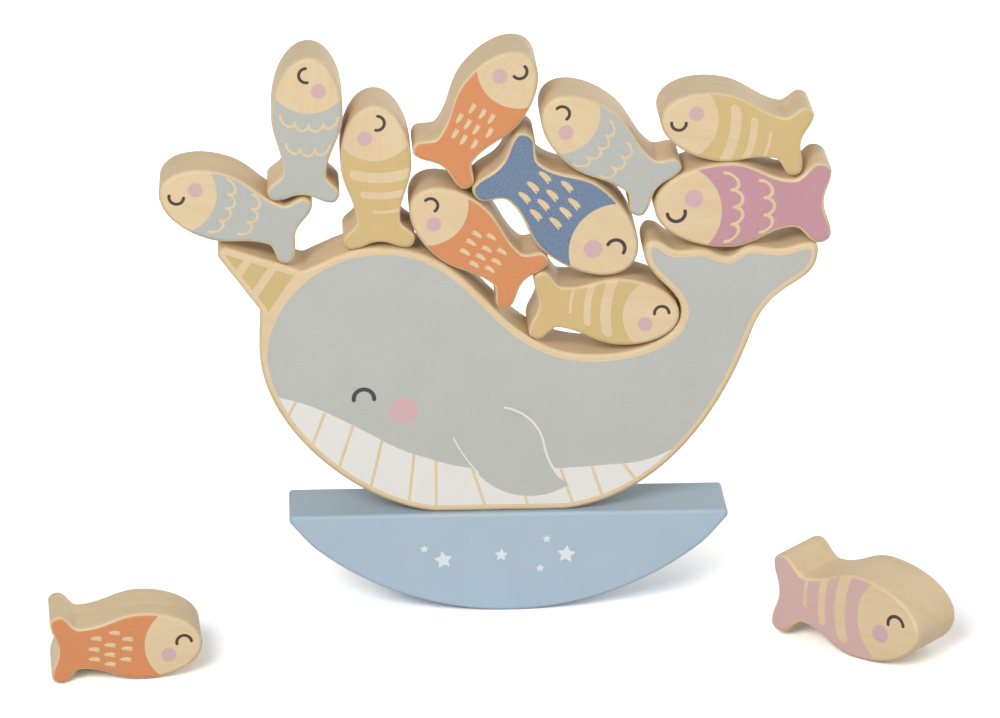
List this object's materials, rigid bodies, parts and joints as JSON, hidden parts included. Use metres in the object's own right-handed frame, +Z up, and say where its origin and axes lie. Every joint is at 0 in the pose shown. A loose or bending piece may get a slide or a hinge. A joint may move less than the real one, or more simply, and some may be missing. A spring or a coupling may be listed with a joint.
{
  "type": "balance game",
  "caption": "Wooden balance game: a flat whale with a horn and a raised fluke on a half-round rocker, with loose painted fish piled on its back, horn and tail.",
  "frame": {"origin": "middle of the rocker's foot, on the table", "axes": "+X to the player's right, towards the whale's tail; -Y towards the player; +Z up"},
  "size_m": [0.3294, 0.0974, 0.2162],
  "materials": {
    "powder_blue": "satin paint on every side",
    "whale_grey": "matt paint print on both faces, bare wood round the edge",
    "beech": "bare wood",
    "olive": "matt paint print on both faces, bare wood round the edge",
    "orange": "matt paint print on both faces, bare wood round the edge",
    "sky": "matt paint print on both faces, bare wood round the edge",
    "slate": "matt paint print on both faces, bare wood round the edge",
    "mauve": "matt paint print on both faces, bare wood round the edge",
    "pink": "matt paint print on both faces, bare wood round the edge"
  },
  "bodies": {
    "spare_fish_orange": {"fish_orange_spare": "orange"},
    "rocker": {"rocker_base": "powder_blue", "whale": "whale_grey", "dowel_left": "beech", "dowel_right": "beech"},
    "fish_olive_low": {"fish_olive_low": "olive"},
    "fish_orange_low": {"fish_orange_low": "orange"},
    "fish_olive_upright": {"fish_olive_upright": "olive"},
    "fish_sky_on_horn": {"fish_sky_on_horn": "sky"},
    "fish_sky_upright": {"fish_sky_upright": "sky"},
    "fish_slate": {"fish_slate": "slate"},
    "fish_mauve": {"fish_mauve": "mauve"},
    "fish_orange_top": {"fish_orange_top": "orange"},
    "fish_sky_slanted": {"fish_sky_slanted": "sky"},
    "fish_olive_top": {"fish_olive_top": "olive"},
    "fish_pink_spare": {"fish_pink_spare": "pink"}
  },
  "joints": [
    {"name": "rock", "type": "hinge", "parent": "spare_fish_orange", "child": "rocker", "pos_m": [0, 0, 0.11348], "axis": [0, 1, 0], "range_deg": [-20, 20]},
    {"name": "draw_fish_olive_low", "type": "slide", "parent": "rocker", "child": "fish_olive_low", "axis": [0, -1, 0], "range_m": [0, 0.06]},
    {"name": "draw_fish_orange_low", "type": "slide", "parent": "rocker", "child": "fish_orange_low", "axis": [0, -1, 0], "range_m": [0, 0.06]},
    {"name": "draw_fish_olive_upright", "type": "slide", "parent": "rocker", "child": "fish_olive_upright", "axis": [0, -1, 0], "range_m": [0, 0.06]},
    {"name": "draw_fish_sky_on_horn", "type": "slide", "parent": "rocker", "child": "fish_sky_on_horn", "axis": [0, -1, 0], "range_m": [0, 0.06]},
    {"name": "draw_fish_sky_upright", "type": "slide", "parent": "rocker", "child": "fish_sky_upright", "axis": [0, -1, 0], "range_m": [0, 0.06]},
    {"name": "draw_fish_slate", "type": "slide", "parent": "rocker", "child": "fish_slate", "axis": [0, -1, 0], "range_m": [0, 0.06]},
    {"name": "draw_fish_mauve", "type": "slide", "parent": "rocker", "child": "fish_mauve", "axis": [0, -1, 0], "range_m": [0, 0.06]},
    {"name": "draw_fish_orange_top", "type": "slide", "parent": "rocker", "child": "fish_orange_top", "axis": [0, -1, 0], "range_m": [0, 0.06]},
    {"name": "draw_fish_sky_slanted", "type": "slide", "parent": "rocker", "child": "fish_sky_slanted", "axis": [0, -1, 0], "range_m": [0, 0.06]},
    {"name": "draw_fish_olive_top", "type": "slide", "parent": "rocker", "child": "fish_olive_top", "axis": [0, -1, 0], "range_m": [0, 0.06]},
    {"name": "lift_fish_pink_spare", "type": "slide", "parent": "spare_fish_orange", "child": "fish_pink_spare", "axis": [0, 0, 1], "range_m": [0, 0.06]}
  ]
}
